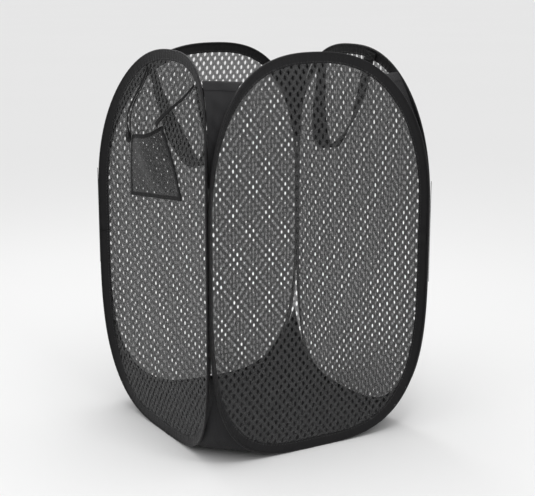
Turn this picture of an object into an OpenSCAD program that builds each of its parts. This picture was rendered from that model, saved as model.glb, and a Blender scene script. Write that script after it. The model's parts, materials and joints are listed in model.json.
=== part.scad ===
// Pop-up mesh laundry hamper: four netted hoops sewn corner to corner, a fabric base, two webbing
// handles inside and one net pocket outside. Millimetres, +Z up, origin on the floor below its centre.

/* [Panels] */
// Height from the floor to the top of the hoops
height = 570; // [540:5:600]
// Width of one net panel between its corner seams
panel_w = 341; // [325:1:360]
// Height of the hoop's rounded top part
top_h = 241; // [225:1:255]
// Height of the hoop's rounded bottom part
bottom_h = 281; // [265:1:290]
// Squareness of the hoop's top corners, 2 is an ellipse
top_square = 2.48; // [2.2:0.02:3]
// Squareness of the hoop's bottom corners
bottom_square = 3.32; // [2.6:0.02:4]
// How far the front hoop's top leans in
front_lean = 18; // [0:1:26]
// How far the left hoop's top leans in
left_lean = 26; // [0:1:28]
// How far the back hoop's top leans in
back_lean = 26; // [0:1:28]
// How far the right hoop's top leans in
right_lean = 4; // [0:1:26]
// How far the bottoms of the hoops are pulled in by the base
foot_lean = 8; // [4:1:12]
// Thickness of the net
net_t = 0.4; // [0.3:0.1:0.5]

/* [Hoops] */
// Diameter of the spring wire
wire_d = 2; // [1.6:0.1:2]
// Width of the folded binding tape, edge to fold
tape_w = 16; // [14:0.5:18]
// Thickness of the binding fabric
tape_t = 0.35; // [0.3:0.05:0.35]
// How far the bindings stand out at the corners, along each side
fin = 12.5; // [11:0.5:14]
// Length of the crimped sleeve that joins the wire's ends
ferrule_l = 24; // [18:1:30]

/* [Base and gussets] */
// Thickness of the base fabric
base_t = 1.2; // [1:0.1:1.5]
// Height of the base's drawn-up corners
corner_lift = 100; // [85:5:115]
// Thickness of a corner gusset
gusset_t = 0.8; // [0.6:0.1:1]
// Height of the gussets' hems above the floor
hem_z = 534; // [515:1:535]

/* [Handles] */
// Width of the handle webbing
webbing_w = 25; // [20:1:28]
// Thickness of the handle webbing
webbing_t = 1.4; // [1.2:0.1:1.6]
// How far the turning line lies inside the binding
hang_gap = 4; // [3.8:0.1:5]

/* [Pocket] */
// How far the pocket's pouch stands off the net
pouch_depth = 10; // [8:0.5:10.5]
// Width of the pocket's binding
trim_w = 6; // [5:0.5:8]

/* [Hidden] */

half_w = panel_w / 2;
top_z = height - top_h;              // where the rounded top starts
bead_r = wire_d / 2 + 0.5 + tape_t;  // half the thickness of the binding round its wire
slot_t = 0.25;                       // half the gap between the tape's legs
leg_t = slot_t + tape_t;             // half the thickness of the binding at its edge
side_gap = bead_r / sqrt(2) + 0.15;  // keeps two neighbouring beads apart at a corner
root_gap = 0.6;                      // the same at the roots of the bindings
out_w = half_w + fin - side_gap;     // half width of a hoop at its outer edge
in_w = half_w - root_gap;            // half width of a hoop at its inner edge
root_in = 2;                         // closing seams turn this far inside the net's corner
seam_out = fin + 0.6;                // opening seams turn at the bindings' outer edge
seam_d = 0.8;                        // diameter of the seam cord
seam_z = [230, 380];                 // height of the sewn stretch of each corner
rings = 56;                          // rings in a swept hoop
lining = 3.4;                        // base and gussets lie this far inside the hoops' outer edges
fork_z = top_z + 0.48 * top_h;       // where the gussets start
tab_h = 11;                          // height of the webbing's sewn ends
tab_gap = 0.3;                       // room between a sewn end and its binding
left_ends = [-60, 100];              // where the left handle hangs, from the panel's middle
left_sway = [60, 25];                // how far its legs drift on their way down
left_drop = 124;                     // depth of its loop
right_ends = [80, -50];              // the same for the right handle
right_sway = [15, 40];
right_drop = 136;
pouch_low = [[-80, 352], [85, 368]];     // lower corners of the pocket
pouch_high = [[-76, 440], [14, 465]];    // upper corners of the pocket
pouch_h = 90;                            // height of the pocket along its edges
pouch_cols = 8;
pouch_rows = 6;
pouch_bulge = 9;                         // how far its front edge bows out
pouch_off = 1.4;                         // the pocket's edges stand this far off the net
pouch_t = 0.6;                           // thickness of the pocket's net
trim_gap = 0.3;                          // room between the pocket's net and its bindings
trim_t = 0.7;                            // thickness of the pocket's bindings and ties
rear_tie = [[-82, -3.4, 442], [-104, -6, 480], [-58, 8, 505], [-62, 19, 543]];
front_tie = [[98, 13.5, 527], [70, 5, 497], [40, -2, 490], [15, -3.4, 468]];
tie_w = 4;
fabric = "#1b1a1c";
trim = "#2b2a2d";
net = "#4a4a4c";
steel = "#b9bcc0";

// ---- small helpers

function unit(v) = v / norm(v);
function flat(rows) = [for (r = rows) for (p = r) p];
function mix(a, b, t) = a + (b - a) * t;
function bezier(p, t) =
    pow(1 - t, 3) * p[0] + 3 * t * pow(1 - t, 2) * p[1] + 3 * t * t * (1 - t) * p[2] + pow(t, 3) * p[3];

// A solid through rings of points, closed on itself or capped at both ends. The quads of a side are cut
// along their other diagonal where turned says so, which keeps the two faces of a thin wall parallel
module sweep(ring_list, closed, turned = []) {
    n = len(ring_list);
    m = len(ring_list[0]);
    spans = closed ? n : n - 1;
    sides = [for (i = [0:spans - 1]) for (j = [0:m - 1])
        let (a = i * m + j, b = i * m + (j + 1) % m,
            c = ((i + 1) % n) * m + j, d = ((i + 1) % n) * m + (j + 1) % m)
        each (turned[j] == true ? [[a, b, d], [a, d, c]] : [[a, b, c], [b, d, c]])];
    caps = closed ? [] : [[for (j = [m - 1:-1:0]) j], [for (j = [0:m - 1]) (n - 1) * m + j]];
    polyhedron(points = flat(ring_list), faces = concat(sides, caps));
}

// A sheet: a grid of points given a thickness along one vector
module sheet(grid, off) {
    n = len(grid);
    m = len(grid[0]);
    k = n * m;
    low = flat(grid);
    cells = [for (i = [0:n - 2]) for (j = [0:m - 2]) let (a = i * m + j)
        each [[a, a + m, a + 1], [a + 1, a + m, a + m + 1],
            [k + a, k + a + 1, k + a + m], [k + a + 1, k + a + m + 1, k + a + m]]];
    rim = concat([for (j = [0:m - 1]) j], [for (i = [1:n - 1]) i * m + m - 1],
        [for (j = [m - 2:-1:0]) (n - 1) * m + j], [for (i = [n - 2:-1:1]) i * m]);
    edge = [for (i = [0:len(rim) - 1]) let (a = rim[i], b = rim[(i + 1) % len(rim)])
        each [[a, b, k + a], [b, k + b, k + a]]];
    polyhedron(points = concat(low, [for (p = low) p + off]), faces = concat(cells, edge));
}

// ---- the shape of a hoop: x along the panel, y inwards, z up, before it is turned to its side

// A superellipse's radius in the direction a
function reach(a, m) = pow(pow(abs(cos(a)), m) + pow(abs(sin(a)), m), -1 / m);

function hoop(a, w, nose, inset, lean) =
    let (up = sin(a) >= 0,
        r = reach(a, up ? top_square : bottom_square),
        x = w * r * cos(a),
        q = abs(x) / w,
        z = up ? top_z + (top_h - inset) * r * sin(a) : bottom_h + (bottom_h - inset) * r * sin(a))
    [x, (up ? lean : foot_lean) * (1 - q * q) - nose * pow(q, 4), z];

function outer_edge(a, lean) = hoop(a, out_w, fin + side_gap, 0, lean);
function inner_edge(a, lean) = hoop(a, in_w, root_gap, tape_w, lean);

// A point of the binding at angle a, d in from its outer edge and e towards the inside
function on_tape(a, lean, d, e) =
    let (o = outer_edge(a, lean),
        u = unit(inner_edge(a, lean) - o),
        v = unit(cross(u, outer_edge(a + 1, lean) - outer_edge(a - 1, lean))))
    o + u * d + v * e;

// The same on the binding's facets, which run straight from ring to ring
function on_facet(a, lean, d, e) =
    let (s = a * rings / 360, i = floor(s))
    mix(on_tape(i * 360 / rings, lean, d, e), on_tape((i + 1) * 360 / rings, lean, d, e), s - i);

// Half width of the hoop's outer edge at height z in its top part, and the edge's distance inwards
function half_at(z) = out_w * pow(1 - pow((z - top_z) / top_h, top_square), 1 / top_square);
function inset_at(x, lean) = let (q = abs(x) / out_w) lean * (1 - q * q) - (fin + side_gap) * pow(q, 4);
// Height of the hoop's lower edge at a distance x from its middle
function foot_at(x) = bottom_h * (1 - pow(1 - pow(abs(x) / out_w, bottom_square), 1 / bottom_square));
// How far the net stands in at height z
function net_in(z, lean) =
    let (up = z > top_z, low = z < bottom_h,
        f = up ? (z - top_z) / (top_h - tape_w) : low ? (bottom_h - z) / (bottom_h - tape_w) : 0,
        m = up ? top_square : bottom_square,
        q = pow(max(0, 1 - pow(min(1, f), m)), 1 / m))
    (up ? lean : foot_lean) * (1 - q * q);

// Turns a panel's own frame to side k: 0 front, 1 right, 2 back, 3 left
module side(k) {
    rotate([0, 0, 90 * k]) translate([0, -half_w, 0]) children();
}

// ---- the pieces of one panel

// Spring wire, closed by its ferrule
module hoop_wire(lean) {
    color(steel) sweep([for (i = [0:rings - 1]) let (a = 360 * i / rings)
        [for (j = [0:5])
            on_tape(a, lean, bead_r - wire_d / 2 * cos(60 * j), -wire_d / 2 * sin(60 * j))]], true);
}

// Crimped sleeve over the joint of the wire, low on the hoop's left side
module hoop_ferrule(lean) {
    a = 360 * 40.5 / rings;
    p = on_facet(a, lean, bead_r, 0);
    along = unit(on_facet(a + 2, lean, bead_r, 0) - on_facet(a - 2, lean, bead_r, 0));
    color(steel) translate(p) rotate([0, acos(along.z), atan2(along.y, along.x)]) difference() {
        cylinder(h = ferrule_l, d = wire_d + 0.6, center = true, $fn = 24);
        cylinder(h = ferrule_l + 1, d = wire_d + 0.2, center = true, $fn = 24);
    }
}

// Tape folded over the wire, its two legs open towards the net: [in from the edge, to the side]
function tape_section() =
    let (r = bead_r, b = wire_d / 2 + 0.5, w = tape_w)
    [[w, leg_t], [2 * r + 0.3, leg_t], [1.4 * r, 0.94 * r], [0.4 * r, 0.94 * r], [0, 0],
        [0.4 * r, -0.94 * r], [1.4 * r, -0.94 * r], [2 * r + 0.3, -leg_t], [w, -leg_t],
        [w, -slot_t], [2 * r - 0.1, -slot_t], [r + 0.4 * b, -0.95 * b], [r - 0.62 * b, -b],
        [r - b, 0], [r - 0.62 * b, b], [r + 0.4 * b, 0.95 * b], [2 * r - 0.1, slot_t],
        [w, slot_t]];

module hoop_binding(lean) {
    section = tape_section();
    m = len(section);
    color(fabric) sweep([for (i = [0:rings - 1]) let (a = 360 * i / rings)
        [for (p = section) on_tape(a, lean, p[0], p[1])]], true,
        [for (j = [0:m - 1]) section[(j + 1) % m][0] > section[j][0]]);
}

// Net stretched across the hoop: flat across its width, bowed in over its height
module hoop_net(lean) {
    gap = 0.8;
    steps = 9;
    deep = 160;
    outline = [for (i = [0:rings - 1])
        let (p = hoop(360 * i / rings, in_w - gap, 0, tape_w + gap, 0)) [p.x, p.z]];
    heights = concat([for (i = [0:5]) mix(tape_w - 1, bottom_h, i / 5)],
        [for (i = [0:steps]) mix(top_z, height - tape_w + 1, sin(90 * i / steps))]);
    profile = concat([for (z = heights) [net_in(z, lean) - net_t / 2, z]],
        [for (i = [len(heights) - 1:-1:0]) [net_in(heights[i], lean) + net_t / 2, heights[i]]]);
    color(net) intersection() {
        rotate([90, 0, 0]) linear_extrude(height = deep, center = true) polygon(outline);
        rotate([90, 0, 90]) linear_extrude(height = panel_w, center = true) polygon(profile);
    }
}

// ---- the base and the corners

// Fabric base: flat on the floor, its corners drawn up between the hoops
module base_panel() {
    n = 7;
    skim = 0.01;
    corner_in = 8;
    reach_to = half_w - inset_at(half_w, foot_lean) - lining;
    function rise(x) = min(foot_at(min(abs(x), half_w)), corner_lift);
    grid = [for (i = [-n:n]) [for (j = [-n:n])
        let (u = sin(90 * i / n), v = sin(90 * j / n), c = corner_in * pow(u * v, 6),
            x = u * (half_w - inset_at(v * reach_to, foot_lean) - lining - c),
            y = v * (half_w - inset_at(u * reach_to, foot_lean) - lining - c))
        [x, y, max(0, rise(x) * rise(y) / corner_lift - skim)]]];
    color(fabric) sheet(grid, [0, 0, base_t]);
}

// A point of the corner where one side's hoop meets a gusset: side k, end -1 or 1
function corner_point(k, end, z, lean) =
    let (x = end * half_at(z), y = inset_at(x, lean) + lining - half_w,
        c = round(cos(90 * k)), s = round(sin(90 * k)))
    [x * c - y * s, x * s + y * c, z];

// Fabric gusset in the fork above a corner, from side k's right end to the next side's left end
module corner_gusset(k, lean_a, lean_b) {
    rows = 8;
    cols = 4;
    a = 90 * k - 45;
    sag = 5;
    grid = [for (i = [0:rows]) let (z = mix(fork_z, hem_z, i / rows),
            p = corner_point(k, 1, z, lean_a), q = corner_point(k + 1, -1, z, lean_b))
        [for (j = [0:cols]) mix(p, q, j / cols)
            - [cos(a), sin(a), 0] * sag * i / rows * sin(180 * j / cols)]];
    color(fabric) sheet(grid, [-cos(a), -sin(a), 0] * gusset_t);
}

// Cord of stitches that holds two bindings together at a corner
module corner_seam(x, y) {
    color(fabric) translate([x, y, seam_z[0]])
        cylinder(h = seam_z[1] - seam_z[0], d = seam_d, $fn = 16);
}

// ---- handles: a loop of webbing hung from two points of its hoop's top

// Where the inner edge of the binding is, a distance x from the middle, in the panel's own frame
function hang_point(x, lean) =
    let (q = abs(x) / in_w, z = top_z + (top_h - tape_w) * pow(1 - pow(q, top_square), 1 / top_square))
    [x, lean * (1 - q * q) + hang_gap, z - 2];

// Webbing along a hanging curve between two ends, turned edge-on to the panel at its middle
module webbing_loop(ends, sway, drop, lean) {
    n = 28;
    a = hang_point(ends[0], lean);
    b = hang_point(ends[1], lean);
    line = unit(b - a);
    step = 0.01;
    ctrl = [a, [a.x + sway[0], a.y + 3, a.z - drop / 0.75], [b.x + sway[1], b.y + 3, b.z - drop / 0.75], b];
    color(fabric) sweep([for (i = [0:n])
        let (t = i / n, p = bezier(ctrl, t),
            along = unit(bezier(ctrl, min(1, t + step)) - bezier(ctrl, max(0, t - step))),
            twist = 90 * pow(sin(180 * t), 2),
            level = unit(cross(along, [0, 1, 0])),
            across = mix(line * sign(line * level), level, min(1, min(i, n - i) / 3)),
            w = (across * cos(twist) + [0, 1, 0] * sin(twist)) * webbing_w / 2,
            h = unit(cross(along, w)) * webbing_t / 2,
            q = p + [0, 1, 0] * sin(twist) * (webbing_w / 2 - 2))
        [q + w - h, q - w - h, q - w + h, q + w + h]], false, [false, false, true, false]);
}

// The angle at which a binding's inner edge is a distance x from the middle
function angle_at(x) = atan2(pow(1 - pow(abs(x) / in_w, top_square), 1 / top_square), x / in_w);

// The two ends of the webbing, sewn flat on the inside of the binding
module webbing_tabs(ends, lean) {
    for (x = ends) {
        a = angle_at(x);
        half = webbing_w / 2 / norm(inner_edge(a + 0.5, lean) - inner_edge(a - 0.5, lean));
        grid = [for (i = [-2:2]) [for (d = [tape_w - 0.5, tape_w - tab_h])
            on_facet(a + half * i / 2, lean, d, leg_t + tab_gap)]];
        color(fabric) sheet(grid, on_tape(a, lean, 0, webbing_t) - on_tape(a, lean, 0, 0));
    }
}

// ---- the pocket on the left panel, in that panel's own frame

// A point of the pouch: u across from its rear edge, v up from its bottom
function pouch(u, v) =
    let (low = mix(pouch_low[0], pouch_low[1], u), high = mix(pouch_high[0], pouch_high[1], u),
        p = mix(low, high, v) + [pouch_bulge * u * v * (1 - v) * 4, 0],
        out = pouch_off + pouch_depth * sin(180 * u) * sin(90 * v))
    [p.x, net_in(p.y, left_lean) - out, p.y];

// The same on the pouch's facets
function on_pouch(u, v) =
    let (i = min(floor(u * pouch_cols), pouch_cols - 1), j = min(floor(v * pouch_rows), pouch_rows - 1),
        u0 = i / pouch_cols, u1 = (i + 1) / pouch_cols, v0 = j / pouch_rows, v1 = (j + 1) / pouch_rows,
        s = u * pouch_cols - i)
    mix(mix(pouch(u0, v0), pouch(u1, v0), s), mix(pouch(u0, v1), pouch(u1, v1), s), v * pouch_rows - j);

// A patch of the pouch over the steps us and vs, from off outwards and t thick
module pouch_patch(us, vs, off, t) {
    sheet([for (u = us) [for (v = vs) on_pouch(u, v) - [0, off, 0]]], [0, -t, 0]);
}

// A tie along a curve, with its width across and its thickness outwards
module tie(points, across) {
    n = 10;
    thick = [0, -trim_t, 0];
    side(3) color(trim) sweep([for (i = [0:n]) let (p = bezier(points, i / n))
        [p, p + across, p + across + thick, p + thick]], false);
}

module pocket_net() {
    side(3) color(net) pouch_patch([for (i = [0:pouch_cols]) i / pouch_cols],
        [for (j = [0:pouch_rows]) j / pouch_rows], 0, pouch_t);
}

module pocket_mouth_binding() {
    side(3) color(trim) pouch_patch([for (i = [0:pouch_cols]) i / pouch_cols],
        [1 - trim_w / pouch_h, 1], pouch_t + trim_gap, trim_t);
}

module pocket_side_bindings() {
    wide = trim_w / (pouch_low[1].x - pouch_low[0].x) * 1.3;
    top = 1 - (trim_w + 1) / pouch_h;
    vs = concat([for (j = [0:pouch_rows - 1]) j / pouch_rows], [top]);
    side(3) color(trim) for (us = [[0, wide], [1 - wide, 1]])
        pouch_patch(us, vs, pouch_t + trim_gap, trim_t);
}

// Tie from the rear end of the handle down to the rear corner of the pocket's mouth
module pocket_rear_strap() { tie(rear_tie, [tie_w, 0, 0]); }

// Tie from the front end of the handle down to the front corner of the pocket's mouth
module pocket_front_strap() { tie(front_tie, [0, 0, tie_w]); }

// ---- the named pieces

module front_wire() { side(0) hoop_wire(front_lean); }
module front_ferrule() { side(0) hoop_ferrule(front_lean); }
module front_binding() { side(0) hoop_binding(front_lean); }
module front_net() { side(0) hoop_net(front_lean); }
module right_wire() { side(1) hoop_wire(right_lean); }
module right_ferrule() { side(1) hoop_ferrule(right_lean); }
module right_binding() { side(1) hoop_binding(right_lean); }
module right_net() { side(1) hoop_net(right_lean); }
module back_wire() { side(2) hoop_wire(back_lean); }
module back_ferrule() { side(2) hoop_ferrule(back_lean); }
module back_binding() { side(2) hoop_binding(back_lean); }
module back_net() { side(2) hoop_net(back_lean); }
module left_wire() { side(3) hoop_wire(left_lean); }
module left_ferrule() { side(3) hoop_ferrule(left_lean); }
module left_binding() { side(3) hoop_binding(left_lean); }
module left_net() { side(3) hoop_net(left_lean); }
module right_corner_gusset() { corner_gusset(0, front_lean, right_lean); }
module rear_corner_gusset() { corner_gusset(1, right_lean, back_lean); }
module left_corner_gusset() { corner_gusset(2, back_lean, left_lean); }
module front_corner_gusset() { corner_gusset(3, left_lean, front_lean); }
module right_corner_seam() { corner_seam(half_w + seam_out, -half_w - seam_out); }
module left_corner_seam() { corner_seam(-half_w - seam_out, half_w + seam_out); }
module front_corner_seam() { corner_seam(-half_w + root_in, -half_w + root_in); }
module rear_corner_seam() { corner_seam(half_w - root_in, half_w - root_in); }
module left_handle() { side(3) webbing_loop(left_ends, left_sway, left_drop, left_lean); }
module left_handle_tabs() { side(3) webbing_tabs(left_ends, left_lean); }
module right_handle() { side(1) webbing_loop(right_ends, right_sway, right_drop, right_lean); }
module right_handle_tabs() { side(1) webbing_tabs(right_ends, right_lean); }

front_wire();
front_ferrule();
front_binding();
front_net();
right_wire();
right_ferrule();
right_binding();
right_net();
back_wire();
back_ferrule();
back_binding();
back_net();
left_wire();
left_ferrule();
left_binding();
left_net();
base_panel();
front_corner_gusset();
right_corner_gusset();
rear_corner_gusset();
left_corner_gusset();
front_corner_seam();
right_corner_seam();
rear_corner_seam();
left_corner_seam();
left_handle();
left_handle_tabs();
right_handle();
right_handle_tabs();
pocket_net();
pocket_mouth_binding();
pocket_side_bindings();
pocket_rear_strap();
pocket_front_strap();
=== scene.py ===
import json
from math import atan2, cos, pi, radians, sin

import bpy
import numpy as np
from bpy.props import FloatProperty, FloatVectorProperty, PointerProperty
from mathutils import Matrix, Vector


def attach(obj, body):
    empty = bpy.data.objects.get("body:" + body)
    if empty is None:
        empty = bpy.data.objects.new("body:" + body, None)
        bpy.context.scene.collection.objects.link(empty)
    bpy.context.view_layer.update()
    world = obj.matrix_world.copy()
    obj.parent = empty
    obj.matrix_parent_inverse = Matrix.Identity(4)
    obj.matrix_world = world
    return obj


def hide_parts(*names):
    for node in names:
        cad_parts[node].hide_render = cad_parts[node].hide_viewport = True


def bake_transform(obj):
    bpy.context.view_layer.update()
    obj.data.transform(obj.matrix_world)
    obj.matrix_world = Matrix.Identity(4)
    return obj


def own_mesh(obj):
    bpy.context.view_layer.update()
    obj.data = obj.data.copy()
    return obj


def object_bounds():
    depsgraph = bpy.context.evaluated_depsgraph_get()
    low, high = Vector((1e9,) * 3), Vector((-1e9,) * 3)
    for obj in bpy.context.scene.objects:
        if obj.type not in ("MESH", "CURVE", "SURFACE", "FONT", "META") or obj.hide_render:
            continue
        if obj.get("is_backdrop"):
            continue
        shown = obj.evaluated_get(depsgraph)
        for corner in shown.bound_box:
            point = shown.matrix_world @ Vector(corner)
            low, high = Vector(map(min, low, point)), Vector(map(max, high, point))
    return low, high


bl_info = {
    "name": "Pop-up Laundry Hamper",
    "version": (1, 0, 0),
    "blender": (4, 5, 0),
    "location": "3D View > Sidebar > Hamper",
    "description": "Nets, bindings, base, handles and pocket of a pop-up mesh laundry hamper",
    "category": "Add Mesh",
}

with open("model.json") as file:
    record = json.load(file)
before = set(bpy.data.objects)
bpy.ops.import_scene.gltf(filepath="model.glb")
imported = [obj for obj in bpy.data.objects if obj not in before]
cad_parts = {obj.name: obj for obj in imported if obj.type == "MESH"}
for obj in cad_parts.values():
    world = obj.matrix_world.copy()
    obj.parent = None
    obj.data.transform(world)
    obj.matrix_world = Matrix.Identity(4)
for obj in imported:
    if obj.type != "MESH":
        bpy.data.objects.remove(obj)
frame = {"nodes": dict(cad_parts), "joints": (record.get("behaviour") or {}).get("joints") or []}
CAD_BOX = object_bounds()

MM = 0.001
LINING = 3.4 * MM  # how far the base and the gussets lie inside the tapes
SIDES = ("front", "right", "back", "left")
JOINTS = {j["name"]: j for j in frame["joints"]}


# ------------------------------------------------------------------ settings

def length(name, text, default, **more):
    """A property that holds a length in metres."""
    return FloatProperty(name=name, description=text, default=default, min=0, unit="LENGTH",
                         precision=4, **more)


def colour(name, text, default):
    return FloatVectorProperty(name=name, description=text, default=default, size=3,
                               min=0, max=1, subtype="COLOR")


class HoopSettings(bpy.types.PropertyGroup):
    """The outline that all four hoops share, and how each one leans."""
    height: length("Height", "Floor to the top of the hoops", CAD_BOX[1][2])
    half_width: length("Half width", "Middle of the plan to a net panel",
                       -JOINTS["fold"]["pos_m"][0] + 2 * MM)
    top_h: length("Top part", "Height of the rounded top", 241 * MM)
    bottom_h: length("Bottom part", "Height of the rounded bottom", 281 * MM)
    top_square: FloatProperty(name="Top squareness", description="2 is an ellipse", default=2.48)
    bottom_square: FloatProperty(name="Bottom squareness", description="2 is an ellipse",
                                 default=3.32)
    lean: FloatVectorProperty(
        name="Lean", description="How far the front, right, back and left tops lean in",
        size=4, default=(18 * MM, 4 * MM, 26 * MM, 26 * MM), unit="LENGTH")
    foot_lean: length("Foot lean", "How far the base pulls the bottoms in", 8 * MM)
    fin: length("Fin", "How far the bindings stand out along each side at a corner", 12.5 * MM)
    root_gap: length("Root gap", "Room between two bindings' inner edges", 0.6 * MM)
    hem_z: length("Gusset hem", "Height of the gussets' hems", 534 * MM)
    corner_lift: length("Corner lift", "Height of the base's drawn-up corners", 100 * MM)


class TapeSettings(bpy.types.PropertyGroup):
    """The satin tape folded over each hoop."""
    width: length("Width", "Fold to edge", 16 * MM)
    bead: length("Bead", "Half the thickness where the wire lies", 1.85 * MM)
    leg: length("Leg", "Half the thickness near the edge", 0.6 * MM)
    pucker: length("Pucker", "How far the tape waves between its stitches", 0.35 * MM)
    stitch: length("Stitch", "Length of one stitch", 3.2 * MM)
    stitch_pitch: length("Stitch pitch", "From one stitch to the next", 4.8 * MM)
    colour: colour("Tape", "Black satin", (0.0042, 0.0040, 0.0045))


class NetSettings(bpy.types.PropertyGroup):
    """The knitted net: staggered rows of oval holes."""
    cell_w: length("Cell width", "Across one hole and one node", 12.5 * MM)
    row_h: length("Row height", "From one staggered row to the next", 7.45 * MM)
    hole_w: length("Hole width", "Widest part of a hole", 3.3 * MM)
    hole_h: length("Hole height", "Top to bottom of a hole", 6.6 * MM)
    yarn: length("Yarn", "Thickness of the net at the middle of a strand", 0.9 * MM)
    seam: length("Seam", "How far the net reaches past the tape's edge", 7.25 * MM)
    colour: colour("Net", "Dark grey yarn", (0.024, 0.024, 0.0245))
    # Light sets the painted highlight along a strand's middle, against painted shade at a hole's edge.
    light: FloatProperty(name="Light", description="How much paler a strand's middle is", default=2.0)
    thin: FloatProperty(name="Thin", description="Cover at a hole's edge", default=0.46)
    dense: FloatProperty(name="Dense", description="Cover at a strand's middle", default=0.64)


class HandleSettings(bpy.types.PropertyGroup):
    """The webbing loops that hang inside the left and right panels."""
    width: length("Width", "Width of the webbing", 25 * MM)
    thick: length("Thickness", "Thickness of the webbing", 1.4 * MM)
    gap: length("Gap", "How far the loop hangs inside the binding", 4 * MM)
    colour: colour("Webbing", "Black webbing", (0.0035, 0.0035, 0.0038))


class PocketSettings(bpy.types.PropertyGroup):
    """The small net pocket outside the left panel."""
    depth: length("Depth", "How far the pouch stands off the net", 10 * MM)
    trim: length("Trim", "Width of the pocket's binding", 6 * MM)
    colour: colour("Trim", "Black tape", (0.0050, 0.0049, 0.0053))
    net_colour: colour("Pocket net", "Black yarn", (0.008, 0.008, 0.0085))
    # Light sets the painted highlight along a strand's middle, against painted shade at a hole's edge.
    light: FloatProperty(name="Light", description="How much paler a strand's middle is", default=2.0)
    thin: FloatProperty(name="Thin", description="Cover at a hole's edge", default=0.75)
    dense: FloatProperty(name="Dense", description="Cover at a strand's middle", default=0.95)


class StageSettings(bpy.types.PropertyGroup):
    """Camera, lights and floor."""
    azimuth: FloatProperty(name="Azimuth", description="Which way the camera looks",
                           default=radians(30.38), subtype="ANGLE")
    pitch: FloatProperty(name="Pitch", description="How far the camera looks down",
                         default=radians(12.44), subtype="ANGLE")
    distance: length("Distance", "Camera to the hamper's middle, along the floor", 1.8195)
    aside: length("Aside", "Camera's offset to its right", 0.0133)
    camera_z: length("Camera height", "Camera above the floor", 0.6676)
    lens: FloatProperty(name="Lens", description="Focal length for a 36 mm sensor", default=82.22,
                        subtype="DISTANCE_CAMERA")
    floor: colour("Floor", "Pale studio floor", (0.86, 0.86, 0.86))
    world: FloatProperty(name="World", description="Strength of the white surroundings", default=0.5)
    sky: FloatProperty(name="Sky", description="Strength of the wide light from above", default=1.45)


class HamperSettings(bpy.types.PropertyGroup):
    hoop: PointerProperty(type=HoopSettings)
    tape: PointerProperty(type=TapeSettings)
    net: PointerProperty(type=NetSettings)
    handle: PointerProperty(type=HandleSettings)
    pocket: PointerProperty(type=PocketSettings)
    stage: PointerProperty(type=StageSettings)


def settings():
    return bpy.context.scene.hamper


# ------------------------------------------------------------------ shapes

def unit(v):
    return v / np.linalg.norm(v, axis=-1, keepdims=True)


def turned(points, k):
    """Points of a panel's own frame (x along it, y inwards, z up), put on side k of the hamper."""
    p = np.asarray(points, float)
    y = p[..., 1] - settings().hoop.half_width
    c, s = ((1, 0), (0, 1), (-1, 0), (0, -1))[k % 4]
    return np.stack([p[..., 0] * c - y * s, p[..., 0] * s + y * c, p[..., 2]], -1)


def turned_way(way, k):
    """The same for directions."""
    w = np.asarray(way, float)
    c, s = ((1, 0), (0, 1), (-1, 0), (0, -1))[k % 4]
    return np.stack([w[..., 0] * c - w[..., 1] * s, w[..., 0] * s + w[..., 1] * c, w[..., 2]], -1)


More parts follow.
